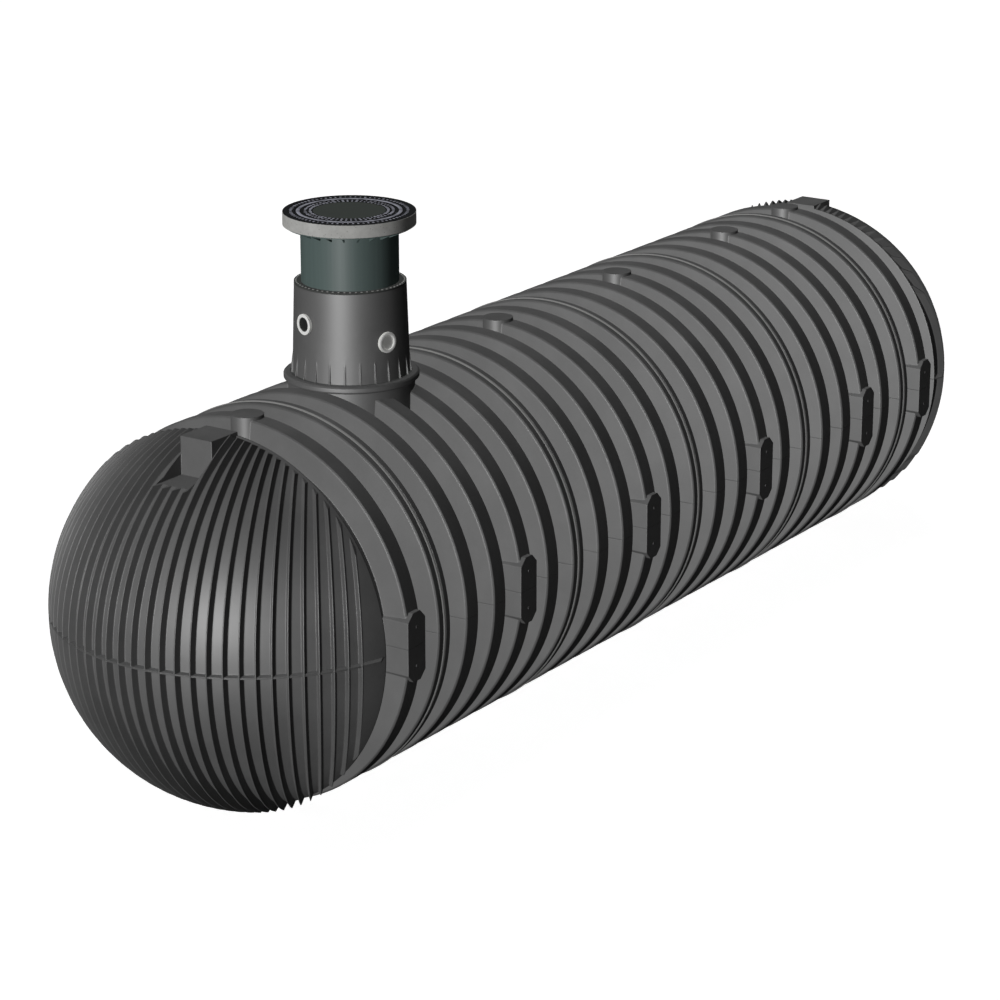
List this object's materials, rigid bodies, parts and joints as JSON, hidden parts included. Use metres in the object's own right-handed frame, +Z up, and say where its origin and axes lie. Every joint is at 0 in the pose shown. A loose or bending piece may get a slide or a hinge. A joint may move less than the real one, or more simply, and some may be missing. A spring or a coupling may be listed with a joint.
{
  "type": "cesspool tank",
  "caption": "Long ribbed plastic cesspool tank with domed finned ends, side pads and top stubs, and a telescopic access shaft with an iron manhole cover.",
  "frame": {"origin": "on the floor under the middle of the tank", "axes": "+X along the tank to its back end, +Z up, the shaft is towards the front end at -X"},
  "size_m": [8.5204, 2.324, 3.313],
  "materials": {
    "shell": "satin",
    "bead": "satin",
    "shaft": "satin",
    "tube": "satin",
    "black_rubber": "matte",
    "pale_rubber": "matte",
    "plug": "matte",
    "concrete": "rough",
    "iron": "cast",
    "infill": "rough"
  },
  "bodies": {
    "tank": {"front_end_upper": "shell", "front_end_lower": "shell", "back_end_upper": "shell", "back_end_lower": "shell", "ring_1_upper": "shell", "ring_1_lower": "shell", "ring_2_upper": "shell", "ring_2_lower": "shell", "ring_3_upper": "shell", "ring_3_lower": "shell", "ring_4_upper": "shell", "ring_4_lower": "shell", "joint_bead_1": "bead", "joint_bead_2": "bead", "joint_bead_3": "bead", "joint_bead_4": "bead", "joint_bead_5": "bead", "shaft_socket": "shell", "socket_seal": "black_rubber", "shaft_extension": "shaft", "front_pipe_seal": "pale_rubber", "side_pipe_seal": "pale_rubber", "side_pipe_plug": "plug", "tube_gasket": "black_rubber"},
    "telescope": {"telescopic_tube": "tube", "cover_frame": "concrete", "frame_seat": "iron"},
    "cover": {"manhole_cover": "iron", "cover_infill": "infill"}
  },
  "joints": [
    {"name": "telescope_slide", "type": "slide", "parent": "tank", "child": "telescope", "axis": [0, 0, 1], "range_m": [-0.27, 0.05]},
    {"name": "cover_lift", "type": "slide", "parent": "telescope", "child": "cover", "axis": [0, 0, 1], "range_m": [0, 0.3]}
  ]
}
